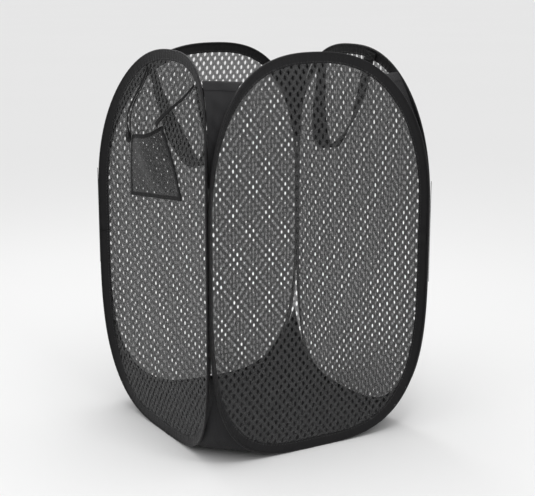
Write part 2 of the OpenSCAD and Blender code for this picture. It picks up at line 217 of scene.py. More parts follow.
class Hoop:
    """The hoop of one side, in its panel's own frame. Angles are arrays, in radians."""

    def __init__(self, k):
        h, t = settings().hoop, settings().tape
        self.k, self.h, self.t = k, h, t
        self.lean = h.lean[k]
        self.top_z = h.height - h.top_h
        self.side_gap = t.bead / 2 ** 0.5 + 0.15 * MM
        self.out_w = h.half_width + h.fin - self.side_gap
        self.in_w = h.half_width - h.root_gap

    def edge(self, a, w, nose, inset):
        h = self.h
        a = np.asarray(a, float)
        up = np.sin(a) >= 0
        m = np.where(up, h.top_square, h.bottom_square)
        r = (np.abs(np.cos(a)) ** m + np.abs(np.sin(a)) ** m) ** (-1 / m)
        x = w * r * np.cos(a)
        q = np.abs(x) / w
        z = np.where(up, self.top_z + (h.top_h - inset) * r * np.sin(a),
                     h.bottom_h + (h.bottom_h - inset) * r * np.sin(a))
        y = np.where(up, self.lean, h.foot_lean) * (1 - q * q) - nose * q ** 4
        return np.stack([x, y, z], -1)

    def outer(self, a):
        return self.edge(a, self.out_w, self.h.fin + self.side_gap, 0)

    def inner(self, a):
        return self.edge(a, self.in_w, self.h.root_gap, self.t.width)

    def axes(self, a):
        """The outer edge at a, the way to the inner edge, and the way to the inside."""
        o = self.outer(a)
        u = unit(self.inner(a) - o)
        v = unit(np.cross(u, self.outer(np.asarray(a) + 0.01) - self.outer(np.asarray(a) - 0.01)))
        return o, u, v

    def on_tape(self, a, d, e):
        o, u, v = self.axes(a)
        return o + u * np.asarray(d)[..., None] + v * np.asarray(e)[..., None]

    def even(self, n, inset=0.0):
        """n angles at even steps along the hoop, and the length of the whole hoop."""
        a = np.linspace(0, 2 * pi, 2001)
        p = self.on_tape(a, np.full(a.shape, inset), np.zeros(a.shape))
        s = np.concatenate([[0], np.cumsum(np.linalg.norm(np.diff(p, axis=0), axis=1))])
        return np.interp(np.arange(n) * s[-1] / n, s, a), s[-1]

    def net_in(self, z):
        """How far the net stands in at height z."""
        h, w = self.h, self.t.width
        z = np.asarray(z, float)
        up = z > self.top_z
        f = np.where(up, (z - self.top_z) / (h.top_h - w),
                     np.clip(h.bottom_h - z, 0, None) / (h.bottom_h - w))
        m = np.where(up, h.top_square, h.bottom_square)
        q2 = np.clip(1 - np.clip(f, 0, 1) ** m, 0, 1) ** (2 / m)
        return np.where(up, self.lean, h.foot_lean) * (1 - q2)

    def half_at(self, z):
        """Half the width of the hoop's outer edge at height z, above its straight part."""
        h = self.h
        return self.out_w * (1 - ((z - self.top_z) / h.top_h) ** h.top_square) ** (1 / h.top_square)

    def inset_at(self, x, lean):
        q = np.abs(x) / self.out_w
        return lean * (1 - q * q) - (self.h.fin + self.side_gap) * q ** 4

    def foot_at(self, x):
        """Height of the hoop's lower edge, x from its middle."""
        m = self.h.bottom_square
        return self.h.bottom_h * (1 - (1 - (np.abs(x) / self.out_w) ** m) ** (1 / m))

    def net_cut(self, seam):
        """The area that the net is cut to: the binding's inner edge and a seam allowance all round."""
        edge = self.inner(np.linspace(0, 2 * pi, 720, endpoint=False))[:, [0, 2]]
        round_it = np.linalg.norm(np.roll(edge, -1, 0) - edge, axis=1).sum()
        return outline_area(edge) + round_it * seam + pi * seam ** 2

    def net_point(self, x, z, off):
        """A point of the net, off its middle surface, and how far it lies past the binding's edge."""
        h, w = self.h, self.t.width
        x, z, off = (np.asarray(v, float) for v in (x, z, off))
        up, low = z >= self.top_z, z <= h.bottom_h
        m = np.where(up, h.top_square, h.bottom_square)
        mid_z = np.where(up, self.top_z, np.where(low, h.bottom_h, z))
        size = np.where(up, h.top_h - w, h.bottom_h - w)
        fx, fz = x / self.in_w, (z - mid_z) / size
        rho = (np.abs(fx) ** m + np.abs(fz) ** m) ** (1 / m)
        slope = np.hypot(np.abs(fx) ** (m - 1) / self.in_w, np.abs(fz) ** (m - 1) / size)
        past = (rho - 1) * rho ** (m - 1) / np.maximum(slope, 1e-6)
        a = np.arctan2(fz, fx)
        tuck = 0.75 * w
        deep = np.linalg.norm(self.inner(a) - self.outer(a), axis=-1)
        rim = self.on_tape(a, deep - tuck * np.tanh(np.clip(past, 0, None) / tuck), off)
        rim[..., 2] += np.where(up | low, 0, z - self.top_z)
        slack = 1.2 * MM * np.sin(x * 23 + self.k) * np.sin(z * 17) * np.clip(1 - rho, 0, 0.3) / 0.3
        y = self.net_in(z) - h.root_gap * np.minimum(np.abs(fx), 1) ** 4 + off + slack
        field = np.stack([x, y, z], -1)
        return np.where((past > 0)[..., None], rim, field), past


def curve(points, t):
    """A cubic curve through its first and last of four points."""
    p = [np.asarray(q, float) for q in points]
    t = np.asarray(t, float)[..., None]
    return (1 - t) ** 3 * p[0] + 3 * t * (1 - t) ** 2 * p[1] + 3 * t * t * (1 - t) * p[2] + t ** 3 * p[3]


# ------------------------------------------------------------------ meshes

class Shape:
    """The points, faces and pattern coordinates of one piece while it is built."""

    def __init__(self):
        self.points, self.faces, self.uv, self.core, self.count = [], [], [], [], 0

    def add(self, points, faces, uv, core=None):
        points = np.asarray(points, float).reshape(-1, 3)
        self.points.append(points)
        self.faces += [[i + self.count for i in f] for f in faces]
        self.uv += uv
        self.core.append(np.zeros(len(points)) if core is None else core)
        self.count += len(points)

    def grid(self, p, u, v, loop=(False, False), caps=False):
        """Quads through a grid of points. u and v measure it both ways, one step longer round a loop."""
        n, m = p.shape[:2]
        i, j = np.meshgrid(np.arange(n - (not loop[0])), np.arange(m - (not loop[1])), indexing="ij")
        i, j = i.ravel(), j.ravel()
        i1, j1 = (i + 1) % n, (j + 1) % m
        quads = np.stack([i * m + j, i * m + j1, i1 * m + j1, i1 * m + j], -1).tolist()
        u, v = np.asarray(u), np.asarray(v)
        uv = np.stack([u[i], v[j], u[i], v[j + 1], u[i + 1], v[j + 1], u[i + 1], v[j]], -1)
        uv = uv.reshape(-1, 2).tolist()
        if caps:
            quads += [list(range(m))[::-1], list(range((n - 1) * m, n * m))]
            uv += [[u[0], v[k]] for k in range(m)][::-1] + [[u[n - 1], v[k]] for k in range(m)]
        self.add(p, quads, uv)

    def sheet(self, mid, normal, thick, u, v):
        """A closed sheet of cloth round a grid of middle points."""
        half = normal * (thick / 2)
        m = mid.shape[1]
        ring = np.concatenate([mid + half, (mid - half)[:, ::-1]], axis=1)
        v = np.concatenate([v, v[::-1], v[:1]])
        start, end = ring[:1], ring[-1:]
        self.grid(ring, u, v, loop=(False, True))
        for row, at in ((start, u[0]), (end, u[-1])):
            top, low = row[0, :m], row[0, m:][::-1]
            self.grid(np.stack([top, low]), [at, at], v[:m])

    def copies(self, centre, along, across, size, sides=5):
        """A short rounded piece of thread at every centre: size is its length and its thickness."""
        at = np.array([-0.5, -0.36, 0.36, 0.5]) * size[0]
        thick = np.array([0.3, 1, 1, 0.3]) * size[1] / 2
        turn = np.arange(sides) * 2 * pi / sides
        third = np.cross(along, across)
        local = [(a, t * cos(w), t * sin(w)) for a, t in zip(at, thick) for w in turn]
        x, y, z = np.array(local).T
        points = (centre[:, None] + along[:, None] * x[:, None] + across[:, None] * y[:, None]
                  + third[:, None] * z[:, None])
        one = [[r * sides + c, r * sides + (c + 1) % sides, (r + 1) * sides + (c + 1) % sides,
                (r + 1) * sides + c] for r in range(3) for c in range(sides)]
        one += [list(range(sides))[::-1], list(range(3 * sides, 4 * sides))]
        flat = [[x[i], turn[i % sides] * size[1]] for f in one for i in f]
        for p in points:
            self.add(p, one, flat)

    def make(self, name, finish, body=None, replaces=(), slot=None, smooth=50.0):
        """The finished piece, its normals outwards, riding on its body."""
        mesh = bpy.data.meshes.new(name)
        mesh.from_pydata(np.concatenate(self.points).tolist(), [], self.faces)
        mesh.uv_layers.new(name="cloth").data.foreach_set("uv", np.asarray(self.uv).ravel())
        core = mesh.attributes.new("core", "FLOAT", "POINT")
        core.data.foreach_set("value", np.concatenate(self.core))
        mesh.materials.append(finish)
        piece = bpy.data.objects.new(name, mesh)
        bpy.context.scene.collection.objects.link(piece)
        bpy.ops.object.select_all(action="DESELECT")
        bpy.context.view_layer.objects.active = piece
        piece.select_set(True)
        bpy.ops.object.mode_set(mode="EDIT")
        bpy.ops.mesh.select_all(action="SELECT")
        bpy.ops.mesh.remove_doubles(threshold=1e-6)
        bpy.ops.mesh.normals_make_consistent(inside=False)
        bpy.ops.object.mode_set(mode="OBJECT")
        bpy.ops.object.shade_smooth_by_angle(angle=radians(smooth))
        piece.select_set(False)
        if body:
            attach(piece, body)
        if replaces:
            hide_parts(*replaces)
        return piece


def sewn(shape, line, normal, size, pitch):
    """Stitches along a line of points on a cloth, sunk half into it."""
    step = np.linalg.norm(np.diff(line, axis=0), axis=1)
    s = np.concatenate([[0], np.cumsum(step)])
    count = max(1, int(round(s[-1] / pitch)))
    at = (np.arange(count) + 0.5) * s[-1] / count

    def along_line(values, where):
        return np.stack([np.interp(where, s, values[:, i]) for i in range(3)], -1)

    centre = along_line(line, at)
    way = unit(along_line(line, at + pitch / 4) - along_line(line, at - pitch / 4))
    up = along_line(normal, at)
    shape.copies(centre, way, unit(up - way * np.sum(up * way, -1, keepdims=True)), size)


def outline_area(p):
    """The area inside a flat closed outline."""
    x, y = p[:, 0], p[:, 1]
    return abs(np.sum(x * np.roll(y, -1) - np.roll(x, -1) * y)) / 2


# ------------------------------------------------------------------ finishes

class Value:
    """A node's output, used as a number in an expression."""

    def __init__(self, finish, out):
        self.finish, self.out = finish, out

    def math(self, operation, *inputs):
        return self.finish.node("Math", {"operation": operation}, dict(enumerate(inputs)))

    def __add__(self, other):
        return self.math("ADD", self, other)

    def __sub__(self, other):
        return self.math("SUBTRACT", self, other)

    def __mul__(self, other):
        return self.math("MULTIPLY", self, other)

    def __pow__(self, other):
        return self.math("POWER", self, other)

    def sin(self):
        return self.math("SINE", self)

    def abs(self):
        return self.math("ABSOLUTE", self)

    __radd__ = __add__
    __rmul__ = __mul__


class Finish:
    """A procedural material on one Principled shader."""

    def __init__(self, name, **constants):
        self.material = bpy.data.materials.new(name)
        self.material.use_nodes = True
        self.tree = self.material.node_tree
        self.tree.nodes.clear()
        self.shader = self.tree.nodes.new("ShaderNodeBsdfPrincipled")
        out = self.tree.nodes.new("ShaderNodeOutputMaterial")
        self.tree.links.new(self.shader.outputs[0], out.inputs[0])
        for socket, value in constants.items():
            self.set(socket.replace("_", " ").title().replace("Ior", "IOR"), value)

    def plug(self, socket, value):
        if isinstance(value, Value):
            self.tree.links.new(value.out, socket)
        elif hasattr(value, "__len__") and len(value) == 3 and socket.type == "RGBA":
            socket.default_value = (*value, 1)
        else:
            socket.default_value = value

    def set(self, socket, value):
        self.plug(self.shader.inputs[socket], value)

    def node(self, kind, settings=None, sockets=None, out=0):
        """Any node: its type, its settings, then its sockets by name or number."""
        node = self.tree.nodes.new("ShaderNode" + kind)
        for key, value in (settings or {}).items():
            setattr(node, key, value)
        for key, value in (sockets or {}).items():
            self.plug(node.inputs[key], value)
        return Value(self, node.outputs[out])

    def place(self):
        return self.node("TexCoord", out="Object")

    def across(self):
        """The piece's own measures, in metres: along it and across it."""
        uv = self.node("UVMap", {"uv_map": "cloth"})
        split = self.node("SeparateXYZ", None, {0: uv})
        return split, Value(self, split.out.node.outputs[1])

    def noise(self, scale, detail=3.0, where=None, stretch=None):
        where = where or self.place()
        if stretch:
            where = self.node("Mapping", None, {"Vector": where, "Scale": stretch})
        return self.node("TexNoise", None, {"Vector": where, "Scale": scale, "Detail": detail})

    def mix(self, factor, a, b):
        """From colour a to colour b."""
        return self.node("Mix", {"data_type": "RGBA"}, {0: factor, 6: a, 7: b}, out=2)

    def bump(self, height, depth, strength=1.0):
        sockets = {"Height": height, "Distance": depth, "Strength": strength}
        self.set("Normal", self.node("Bump", None, sockets))


def shade(colour, factor):
    return tuple(c * factor for c in colour)


def satin_tape():
    """Black satin-woven tape: fine ribs along it, soft worn streaks, a broad sheen."""
    colour = settings().tape.colour
    f = Finish("satin_tape", sheen_weight=0.03, sheen_roughness=0.3, specular_ior_level=0.22)
    along, across = f.across()
    streak = f.noise(90, 4, stretch=(1, 1, 0.4))
    grain = f.noise(1400, 2)
    rib = (across * (2 * pi / (0.7 * MM))).sin()
    pick = (along * (2 * pi / (0.9 * MM))).sin()
    f.set("Base Color", f.mix(streak * 0.7 + grain * 0.3, shade(colour, 0.6), shade(colour, 1.9)))
    f.set("Roughness", streak * 0.16 + grain * 0.1 + 0.27)
    f.bump(rib * 0.35 + rib * pick * 0.35 + grain * 0.6 + streak, 0.16 * MM, 0.7)
    return f.material


def net_yarn(colour, name, light, thin, dense):
    """Knitted filament yarn: a painted highlight along a strand's middle with painted shade towards each
    hole's edge, and thinning to loose filaments at each hole.
    """
    f = Finish(name, roughness=0.62, sheen_weight=0.1, sheen_roughness=0.5)
    core = Value(f, f.node("Attribute", {"attribute_name": "core"}).out.node.outputs["Fac"])
    twist = f.noise(1700, 3)
    cloud = f.noise(22, 2)
    # Painted highlight and shade: paler along each strand's middle and darker at each hole's edge, standing
    # in for light on a round strand; twist adds random fibre tone.
    painted_highlight_and_twist = (core ** 1.6) * 0.75 + twist * 0.3 - 0.08
    yarn_with_painted_highlight = f.mix(painted_highlight_and_twist, shade(colour, 0.55), shade(colour, light))
    f.set("Base Color", f.mix(cloud * 0.5, yarn_with_painted_highlight, shade(colour, 1.1)))
    f.set("Roughness", twist * 0.2 + 0.5)
    f.set("Alpha", core * (dense - thin) + twist * 0.1 + (thin - 0.05))
    f.bump(twist, 0.2 * MM, 0.8)
    return f.material


def coated_weave():
    """Black plain-weave polyester, as in the base and the gussets."""
    f = Finish("coated_weave", sheen_weight=0.03, sheen_roughness=0.45, specular_ior_level=0.2)
    along, across = f.across()
    warp = (along * (2 * pi / (0.8 * MM))).sin()
    weft = (across * (2 * pi / (0.8 * MM))).sin()
    slub = f.noise(260, 3)
    worn = f.noise(16, 3)
    f.set("Base Color", f.mix(slub * 0.5 + worn * 0.5, (0.005, 0.005, 0.0055), (0.018, 0.0175, 0.019)))
    f.set("Roughness", worn * 0.2 + slub * 0.12 + 0.42)
    f.bump(warp * weft * 0.5 + slub + worn * 3, 0.12 * MM, 0.8)
    return f.material


def flat_webbing():
    """Black webbing: a herringbone of short ribs, with a plain edge on both sides."""
    s = settings().handle
    f = Finish("flat_webbing", sheen_weight=0.02, sheen_roughness=0.4, specular_ior_level=0.15)
    along, across = f.across()
    zig = (across * (2 * pi / (5 * MM))).sin().abs()
    rib = ((along + zig * (1.6 * MM)) * (2 * pi / (1.5 * MM))).sin()
    fuzz = f.noise(900, 3)
    f.set("Base Color", f.mix(rib * 0.25 + fuzz * 0.5 + 0.1, shade(s.colour, 0.6), shade(s.colour, 2.2)))
    f.set("Roughness", fuzz * 0.2 + 0.5)
    f.bump(rib + fuzz * 0.8, 0.22 * MM, 0.8)
    return f.material


def ribbed_trim():
    """Charcoal trim of the pocket: cross ribs and a soft nap."""
    s = settings().pocket
    f = Finish("ribbed_trim", sheen_weight=0.02, sheen_roughness=0.45, specular_ior_level=0.15)
    along, _ = f.across()
    rib = (along * (2 * pi / (1.1 * MM))).sin()
    fuzz = f.noise(700, 3)
    f.set("Base Color", f.mix(rib * 0.2 + fuzz * 0.6 + 0.1, shade(s.colour, 0.55), shade(s.colour, 1.9)))
    f.set("Roughness", fuzz * 0.2 + 0.48)
    f.bump(rib + fuzz, 0.15 * MM, 0.8)
    return f.material


def sewing_thread():
    """Twisted polyester thread."""
    f = Finish("sewing_thread", sheen_weight=0.2)
    along, across = f.across()
    ply = ((along * 2200) + (across * 2600)).sin()
    fuzz = f.noise(2500, 2)
    f.set("Base Color", f.mix(ply * 0.3 + fuzz * 0.5, (0.006, 0.006, 0.0065), (0.035, 0.034, 0.036)))
    f.set("Roughness", fuzz * 0.2 + 0.4)
    f.bump(ply, 0.05 * MM, 0.7)
    return f.material


def plain_thread():
    """Cord of the corner seams, on the CAD's own shape."""
    f = Finish("seam_cord", sheen_weight=0.2)
    split = f.node("SeparateXYZ", None, {0: f.place()})
    up = Value(f, split.out.node.outputs[2])
    stitch = (up * (2 * pi / (3 * MM))).sin()
    fuzz = f.noise(2200, 2)
    f.set("Base Color", f.mix(stitch * 0.3 + fuzz * 0.5 + 0.1, (0.005, 0.005, 0.0055), (0.03, 0.03, 0.031)))
    f.set("Roughness", fuzz * 0.2 + 0.45)
    f.bump(stitch + fuzz * 0.4, 0.15 * MM)
    return f.material


def drawn_steel():
    """Spring steel with fine drawing marks."""
    f = Finish("drawn_steel", metallic=1.0)
    mark = f.noise(900, 3, stretch=(1, 1, 0.15))
    dull = f.noise(60, 2)
    f.set("Base Color", f.mix(mark * 0.6 + dull * 0.4, (0.36, 0.37, 0.39), (0.66, 0.67, 0.69)))
    f.set("Roughness", mark * 0.2 + dull * 0.15 + 0.2)
    f.bump(mark, 0.03 * MM, 0.5)
    return f.material


def studio_floor():
    f = Finish("studio_floor", roughness=0.9, specular_ior_level=0.1)
    s = settings().stage
    cloud = f.noise(0.6, 2)
    f.set("Base Color", f.mix(cloud, shade(s.floor, 0.985), shade(s.floor, 1.01)))
    return f.material


FINISHES = {}


def finish(make, *more):
    """Each finish is made once."""
    key = (make.__name__, *more)
    if key not in FINISHES:
        FINISHES[key] = make(*more)
    return FINISHES[key]


# ------------------------------------------------------------------ net

class Net:
    """Flat knitted net of staggered pointed holes, cell by cell, before it is laid on a surface."""

    def __init__(self, cell_w, row_h, hole_w, hole_h):
        w, h = cell_w / 2, row_h
        side, tip = (h * h - w * w) / (2 * h), (h * h + w * w) / (2 * h)
        corner = np.array([(0, tip), (w, side), (w, -side), (0, -tip), (-w, -side), (-w, side)])
        middle = (corner + np.roll(corner, -1, axis=0)) / 2
        self.rim = np.stack([corner, middle], 1).reshape(-1, 2)
        turn = np.radians([90, 50, 17, 0, -17, -50, -90, -130, -163, 180, 163, 130])
        self.hole = np.stack([np.sign(np.cos(turn)) * np.abs(np.cos(turn)) ** 1.25 * hole_w / 2,
                              np.sin(turn) * hole_h / 2], -1)
        self.cell_w, self.row_h = cell_w, row_h
        self.yarn_share = 1 - outline_area(self.hole) / (cell_w * row_h)

    def build(self, shape, low, high, keep, lay, yarn):
        """Adds the cells with a centre that keep accepts. lay puts flat points and their offsets in place."""
        rows = np.arange(np.floor(low[1] / self.row_h), np.ceil(high[1] / self.row_h) + 1)
        cols = np.arange(np.floor(low[0] / self.cell_w) - 1, np.ceil(high[0] / self.cell_w) + 1)
        r, c = (a.ravel() for a in np.meshgrid(rows, cols, indexing="ij"))
        centre = np.stack([(c + 0.5 * (r % 2)) * self.cell_w, r * self.row_h], -1)
        centre = centre[keep(centre[:, 0], centre[:, 1])]
        rim = (centre[:, None] + self.rim).reshape(-1, 2)
        _, first, back = np.unique(np.round(rim / (0.01 * MM)).astype(int), axis=0,
                                   return_index=True, return_inverse=True)
        back = back.reshape(-1, 12)
        rim, hole = rim[first], (centre[:, None] + self.hole).reshape(-1, 2)
        n, cells = len(rim), len(centre)
        flat = np.concatenate([rim, rim, hole])
        off = np.concatenate([np.full(n, yarn / 2), np.full(n, -yarn / 2), np.zeros(len(hole))])
        inner = 2 * n + np.arange(cells * 12).reshape(-1, 12)
        nxt = np.roll(back, -1, axis=1)
        nxt_in = np.roll(inner, -1, axis=1)
        top = np.stack([back, nxt, nxt_in, inner], -1).reshape(-1, 4)
        low_side = np.stack([inner, nxt_in, nxt + n, back + n], -1).reshape(-1, 4)
        pair = np.sort(np.stack([back.ravel(), nxt.ravel()], -1), axis=1)
        _, at, used = np.unique(pair, axis=0, return_index=True, return_counts=True)
        a, b = back.ravel()[at[used == 1]], nxt.ravel()[at[used == 1]]
        wall = np.stack([b, a, a + n, b + n], -1)
        faces = np.concatenate([top, low_side, wall])
        uv = flat[faces.ravel()]
        # core is 1 on a strand's middle and 0 at a hole's edge: the yarn finish sets cover from it and paints
        # a highlight with it.
        core = np.concatenate([np.ones(2 * n), np.zeros(len(hole))])
        shape.add(lay(flat[:, 0], flat[:, 1], off), faces.tolist(), uv.tolist(), core)


# ------------------------------------------------------------------ the pieces

def tape_ring(t):
    """Half outline of the folded tape, from its edge round the wire: in from the fold, to the side."""
    b = t.bead
    half = [(t.width, 0.5 * t.leg), (t.width - 0.25 * MM, 0.95 * t.leg), (t.width - 1.6 * MM, t.leg),
            (t.width - 2.6 * MM, 0.78 * t.leg), (t.width - 3.7 * MM, 1.05 * t.leg),
            (0.55 * t.width, 1.1 * t.leg), (2.6 * b, 1.15 * t.leg), (2.05 * b, 1.6 * t.leg),
            (1.65 * b, 0.78 * b), (1.2 * b, 0.97 * b),
            (0.8 * b, 0.97 * b), (0.42 * b, 0.8 * b), (0.12 * b, 0.46 * b)]
    return half + [(0, 0)] + [(d, -e) for d, e in reversed(half)]


class HAMPER_OT_bindings(bpy.types.Operator):
    """Satin tape folded over each hoop, with its two rows of stitches"""
    bl_idname = "hamper.bindings"
    bl_label = "Bindings"

    def execute(self, context):
        t = settings().tape
        rings = 820
        ring = np.array(tape_ring(t))
        across = np.concatenate([[0], np.cumsum(np.linalg.norm(np.diff(ring, axis=0), axis=1))])
        across = np.append(across, across[-1] + t.leg)
        for k, side in enumerate(SIDES):
            hoop = Hoop(k)
            a, total = hoop.even(rings, t.width / 2)
            s = np.arange(rings + 1) * total / rings
            o, u, v = hoop.axes(a)
            way = unit(np.roll(o, -1, 0) - np.roll(o, 1, 0))
            bend = np.linalg.norm(np.roll(way, -4, 0) - np.roll(way, 4, 0), axis=1)
            bend = 0.35 + 0.65 * bend / bend.max()
            d, e = ring[:, 0], ring[:, 1]
            loose = np.clip((d - 2.5 * t.bead) / (t.width - 2.5 * t.bead), 0, 1) ** 0.7
            drift = 1.3 * np.sin(s[:-1] * 37 + k) + 0.8 * np.sin(s[:-1] * 91 + 2 * k)
            wave = np.sin(2 * pi * s[:-1] / (6.3 * MM) + 2.5 * drift) + 0.6 * np.sin(
                2 * pi * s[:-1] / (15 * MM) + 3 * drift)
            dip = 0.9 + 0.1 * np.cos(2 * pi * s[:-1] / (9 * MM) + drift)
            lap = np.exp(-((a - radians(267 + 2 * k)) / 0.035) ** 8)
            thick = np.where(d > 2.1 * t.bead, 1.0, dip[:, None]) + 0.3 * lap[:, None]
            off = e * thick + t.pucker * (wave * bend)[:, None] * loose
            points = o[:, None] + u[:, None] * d[:, None] + v[:, None] * off[..., None]
            points, v = turned(points, k), turned_way(v, k)
            tape = Shape()
            tape.grid(points, s, across, loop=(True, True))
            tape.make(f"{side}_tape", finish(satin_tape), f"{side}_panel", [f"{side}_binding"],
                      "binding_tape", 60)
            thread = Shape()
            row = int(np.argmin(np.abs(d - (t.width - 2.6 * MM)) + (e < 0)))
            for j in (row, len(ring) - 1 - row):
                line = np.concatenate([points[:, j], points[:1, j]])
                normal = np.concatenate([v, v[:1]]) * np.sign(e[j])
                sewn(thread, line + normal * 0.08 * MM, normal, (t.stitch, 0.5 * MM), t.stitch_pitch)
            thread.make(f"{side}_tape_stitches", finish(sewing_thread), f"{side}_panel", slot="thread")
        return {"FINISHED"}


class HAMPER_OT_nets(bpy.types.Operator):
    """A knitted net stretched across each hoop"""
    bl_idname = "hamper.nets"
    bl_label = "Nets"

    def execute(self, context):
        s, t, h = settings().net, settings().tape, settings().hoop
        weave = Net(s.cell_w, s.row_h, s.hole_w, s.hole_h)
        for k, side in enumerate(SIDES):
            hoop = Hoop(k)

            def lay(x, z, off):
                x = x + 0.45 * MM * np.sin(z * 61 + 2 * k) + 0.3 * MM * np.sin(x * 83 + z * 47)
                z = z + 0.4 * MM * np.sin(x * 71 + k) + 0.25 * MM * np.sin(z * 97 - x * 53)
                return turned(hoop.net_point(x, z, off)[0], k)

            def keep(x, z):
                return hoop.net_point(x, z, 0 * x)[1] < s.seam

            net = Shape()
            weave.build(net, (-h.half_width, 0), (h.half_width, h.height), keep, lay, s.yarn)
            yarn = finish(net_yarn, tuple(s.colour), "net_yarn", s.light, s.thin, s.dense)
            piece = net.make(f"{side}_netting", yarn, f"{side}_panel", [f"{side}_net"], "net", 80)
            hoop.net_cut(s.seam) * weave.yarn_share
        return {"FINISHED"}


class HAMPER_OT_base(bpy.types.Operator):
    """Fabric base in four quarters, sewn along its diagonals, each riding on its panel"""
    bl_idname = "hamper.base"
    bl_label = "Base"

    def execute(self, context):
        h = settings().hoop
        corner_in, cloth, turn_up = 8 * MM, 0.9 * MM, 10 * MM
        hoop = Hoop(0)

        def reach(x):
            return h.half_width - hoop.inset_at(x, h.foot_lean) - LINING

        def rise(x):
            return np.minimum(hoop.foot_at(np.minimum(np.abs(x), h.half_width)), h.corner_lift)

        far = h.half_width
        for _ in range(20):
            far = float(reach(far)) - corner_in
        for k, side in enumerate(SIDES):
            u = np.linspace(-1, 1, 97)[:, None]
            v = np.linspace(0, 1, 49)[None, :]
            edge = reach(u * far) - corner_in * np.abs(u) ** 12
            x, y = u * v * far, -v * edge
            z = rise(x) * rise(y) / h.corner_lift + turn_up * v ** 24
            corner = np.abs(u) ** 6 * v ** 3
            fold = 1.4 * MM * corner * np.sin(26 * (np.abs(u) - 0.4) * v + k)
            z = z + cloth / 2 + np.abs(fold) + 0.5 * MM * v * (1 - v) * (1 + np.sin(19 * u + 9 * v + k))
            mid = np.stack([x + 0 * v, y + 0 * u, z], -1)
            mid[:, 0] = (0, 0, cloth / 2)
            du, dv = np.gradient(mid, axis=0), np.gradient(mid, axis=1)
            normal = np.cross(du, dv)
            length_n = np.linalg.norm(normal, axis=-1, keepdims=True)
            normal = np.where(length_n > 1e-9, normal / np.maximum(length_n, 1e-9), (0, 0, 1))
            normal[:, 0] = (0, 0, 1)
            normal *= np.sign(normal[..., 2:] + 1e-9)
            turn = turned(mid + (0, h.half_width, 0), k)
            quarter = Shape()
            quarter.sheet(turn, turned_way(normal, k), cloth, np.linspace(-far, far, 97),
                          np.linspace(0, far, 49))
            piece = quarter.make(f"{side}_base_quarter", finish(coated_weave), f"{side}_panel",
                                 ["base_panel"], "base_fabric", 60)
            deep = float(reach(0.0))
            out = turned_way(np.array([0.0, -1.0, 0.0]), k)
            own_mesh(piece)
        return {"FINISHED"}


class HAMPER_OT_gussets(bpy.types.Operator):
    """Fabric gussets with a turned hem in the forks above the corners"""
    bl_idname = "hamper.gussets"
    bl_label = "Gussets"

    def execute(self, context):
        h = settings().hoop
        fork, behind = 398 * MM, 9 * MM
        sag, cloth, hem = 5 * MM, 0.6 * MM, 13 * MM
        names = ("right", "rear", "left", "front")
        bodies = (("front", "right"), ("right", "back"), ("back", "left"), ("left", "front"))
        rows, cols = 60, 33
        z = np.linspace(fork, h.hem_z, rows)
        tall = (z - fork) / (h.hem_z - fork)
        for c, name in enumerate(names):
            one, two = Hoop(c), Hoop((c + 1) % 4)

            def corner(hoop, end):
                x = end * (hoop.half_at(z) - behind * (1 - tall ** 2))
                y = hoop.inset_at(x, hoop.lean) + LINING
                return turned(np.stack([x, y, z], -1), hoop.k)

            p, q = corner(one, 1), corner(two, -1)
            t = np.linspace(0, 1, cols)
            way = pi / 2 * c - pi / 4
            out = np.array([cos(way), sin(way), 0])
            mid = p[:, None] + (q - p)[:, None] * t[None, :, None]
            fold = 0.9 * MM * np.sin(3 * pi * t)[None] * np.sin(7 * tall + c)[:, None]
            crease = 0.6 * MM * np.sin(34 * tall[:, None] + 5 * t[None]) * np.sin(pi * t)[None]
            inwards = sag * tall[:, None] * np.sin(pi * t)[None] + (fold + crease) * tall[:, None]
            mid = mid - out * inwards[..., None]
            normal = unit(np.cross(q - p, np.array([0, 0, 1.0])))
            normal = np.broadcast_to(normal[:, None], mid.shape) * np.sign(np.sum(normal[-1] * out))
            width = np.linalg.norm(q - p, axis=1)
            slope = np.linalg.norm(np.diff((p + q) / 2, axis=0), axis=1)
            wide, cut = width.max(), np.sum((width[1:] + width[:-1]) / 2 * slope)
            if name == "rear":
                pieces = (("rear_gusset_right", slice(0, cols // 2 + 1), 1),
                          ("rear_gusset_back", slice(cols // 2, cols), 2))
            else:
                pieces = ((f"{name}_gusset", slice(0, cols), None),)
            for label, span, k in pieces:
                body = f"{SIDES[k]}_panel" if k is not None else None
                for hemmed in (False, True):
                    shape = Shape()
                    tops = z > h.hem_z - hem
                    part = mid[tops] if hemmed else mid
                    nrm = normal[tops] if hemmed else normal
                    part = part[:, span]
                    shape.sheet(part, nrm[:, span], cloth + (1.3 * MM if hemmed else 0),
                                np.linspace(0, hem if hemmed else h.hem_z - fork, len(part)),
                                np.linspace(0, wide, part.shape[1]))
                    if hemmed:
                        low = part[0] + (part[1] - part[0]) * 0.6
                        for sign in (1, -1):
                            sewn(shape, low + nrm[0, span] * sign * 0.9 * MM, nrm[0, span] * sign,
                                 (2.6 * MM, 0.5 * MM), 4 * MM)
                    piece = shape.make(label + ("_hem" if hemmed else ""), finish(coated_weave), body,
                                       [f"{name}_corner_gusset"], "base_fabric", 60)
                    if k is None:
                        a, b = bodies[c]
                        tuple(p[-1])
                        tuple(q[-1])
                        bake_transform(piece)
                    else:
                        axis = turned_way(np.array([0.0, -1.0, 0.0]), k)
                        "right_fold" if k == 1 else "back_fold"
                        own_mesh(piece)
                part = 1 / len(pieces)
                wide * part
                cut * part
        return {"FINISHED"}


